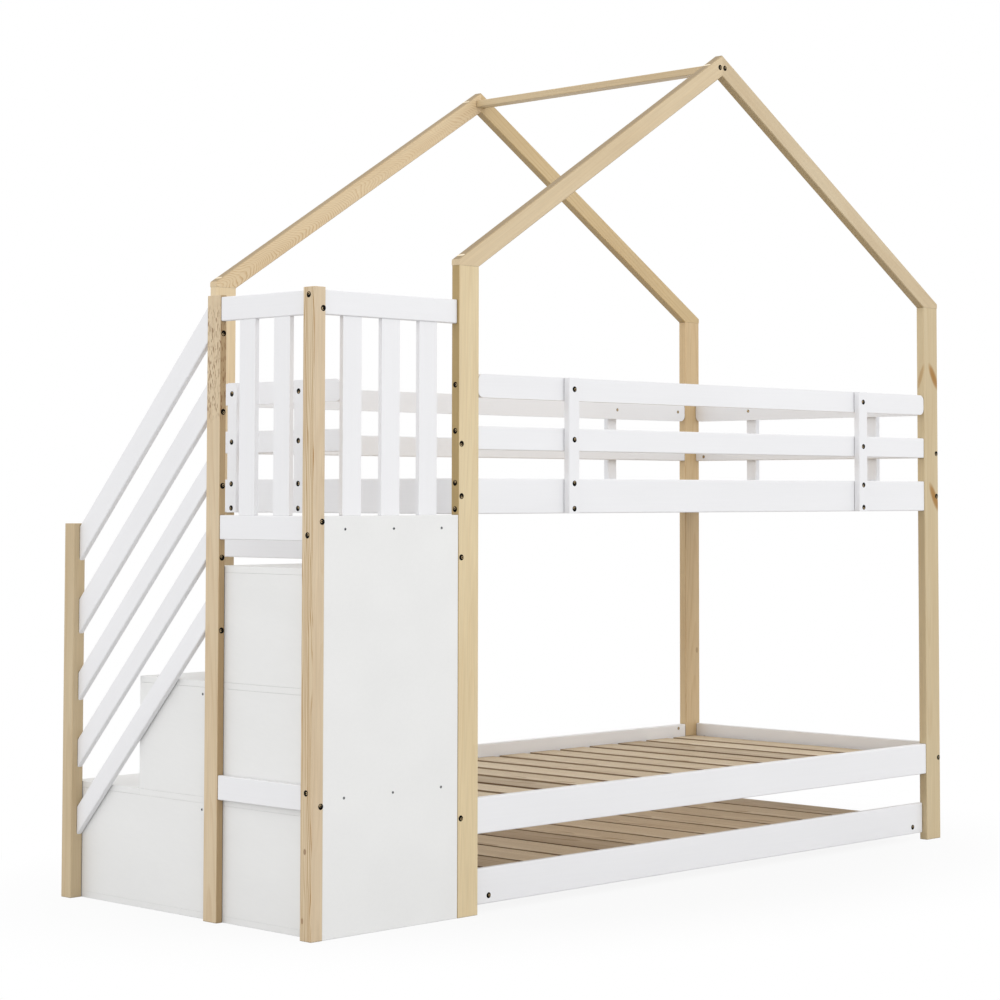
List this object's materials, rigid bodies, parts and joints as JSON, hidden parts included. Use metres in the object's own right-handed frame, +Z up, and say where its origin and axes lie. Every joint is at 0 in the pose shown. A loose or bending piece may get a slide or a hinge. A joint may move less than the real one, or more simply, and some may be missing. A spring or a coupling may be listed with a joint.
{
  "type": "house bunk bed",
  "caption": "Bunk bed with an open gabled roof frame of pine, white guard rails, a boxed stair with a banister at one end, and a low bed on wheels that rolls out from underneath.",
  "frame": {"origin": "on the floor under the middle of the whole bed's box, stair and guard uprights included", "axes": "+X along the bed away from the stair, +Y from the front, where the low bed rolls out, to the back, +Z up"},
  "size_m": [2.544, 1.034, 2.2855],
  "materials": {
    "lacquered_pine": "clear satin lacquer on planed pine",
    "bare_pine": "planed, without lacquer",
    "white_painted_pine": "white satin paint on planed pine",
    "white_board": "white satin paint on fibreboard",
    "bronzed_steel": "dark bronzed plating",
    "zinc_steel": "bright zinc plating",
    "housing_plastic": "moulded, fine grain",
    "wheel_plastic": "moulded, smooth tread"
  },
  "bodies": {
    "bed_frame": {"back_guard_middle_rail": "white_painted_pine", "back_guard_top_rail": "white_painted_pine", "back_guard_uprights": "white_painted_pine", "back_left_post": "lacquered_pine", "back_left_rafter": "lacquered_pine", "back_right_post": "lacquered_pine", "back_right_rafter": "lacquered_pine", "frame_bolts": "bronzed_steel", "front_guard_middle_rail": "white_painted_pine", "front_guard_top_rail": "white_painted_pine", "front_guard_uprights": "white_painted_pine", "front_left_post": "lacquered_pine", "front_left_rafter": "lacquered_pine", "front_right_post": "lacquered_pine", "front_right_rafter": "lacquered_pine", "left_guard_middle_rail": "white_painted_pine", "left_guard_top_rail": "white_painted_pine", "left_guard_uprights": "white_painted_pine", "lower_back_rail": "white_painted_pine", "lower_front_rail": "white_painted_pine", "lower_left_end_rail": "white_painted_pine", "lower_right_end_rail": "white_painted_pine", "lower_slat_ledgers": "bare_pine", "lower_slats": "bare_pine", "platform_bearer_rail": "white_painted_pine", "platform_board": "white_board", "platform_front_rails": "white_painted_pine", "platform_front_slats": "white_painted_pine", "platform_side_rails": "white_painted_pine", "platform_side_slats": "white_painted_pine", "ridge_beam": "lacquered_pine", "right_guard_middle_rail": "white_painted_pine", "right_guard_top_rail": "white_painted_pine", "right_guard_uprights": "white_painted_pine", "stair_banister_boards": "white_painted_pine", "stair_corner_post": "lacquered_pine", "stair_front_panel": "white_board", "stair_inner_panels": "white_board", "stair_middle_post": "lacquered_pine", "stair_newel_post": "lacquered_pine", "stair_outer_panels": "white_board", "stair_risers": "white_board", "stair_shelves": "white_board", "stair_treads": "white_board", "upper_back_rail": "white_painted_pine", "upper_front_rail": "white_painted_pine", "upper_left_end_rail": "white_painted_pine", "upper_right_end_rail": "white_painted_pine", "upper_slat_ledgers": "bare_pine", "upper_slats": "bare_pine"},
    "trundle_bed": {"caster_axles": "zinc_steel", "caster_housings": "housing_plastic", "trundle_cross_rails": "bare_pine", "trundle_end_rails": "bare_pine", "trundle_front_panel": "white_painted_pine", "trundle_slats": "bare_pine"},
    "back_left_wheel": {"back_left_caster_wheel": "wheel_plastic"},
    "back_right_wheel": {"back_right_caster_wheel": "wheel_plastic"},
    "front_left_wheel": {"front_left_caster_wheel": "wheel_plastic"},
    "front_right_wheel": {"front_right_caster_wheel": "wheel_plastic"}
  },
  "joints": [
    {"name": "trundle_slide", "type": "slide", "parent": "bed_frame", "child": "trundle_bed", "axis": [0, -1, 0], "range_m": [0, 0.9]},
    {"name": "front_left_wheel_roll", "type": "hinge", "parent": "trundle_bed", "child": "front_left_wheel", "pos_m": [-0.652, -0.378, 0.022], "axis": [1, 0, 0], "continuous": true},
    {"name": "front_right_wheel_roll", "type": "hinge", "parent": "trundle_bed", "child": "front_right_wheel", "pos_m": [1.11, -0.378, 0.022], "axis": [1, 0, 0], "continuous": true},
    {"name": "back_left_wheel_roll", "type": "hinge", "parent": "trundle_bed", "child": "back_left_wheel", "pos_m": [-0.652, 0.368, 0.022], "axis": [1, 0, 0], "continuous": true},
    {"name": "back_right_wheel_roll", "type": "hinge", "parent": "trundle_bed", "child": "back_right_wheel", "pos_m": [1.11, 0.368, 0.022], "axis": [1, 0, 0], "continuous": true}
  ],
  "couplings": [
    {"joint": "front_left_wheel_roll", "follows": "trundle_slide", "rad_per_m": 45.455},
    {"joint": "front_right_wheel_roll", "follows": "trundle_slide", "rad_per_m": 45.455},
    {"joint": "back_left_wheel_roll", "follows": "trundle_slide", "rad_per_m": 45.455},
    {"joint": "back_right_wheel_roll", "follows": "trundle_slide", "rad_per_m": 45.455}
  ]
}
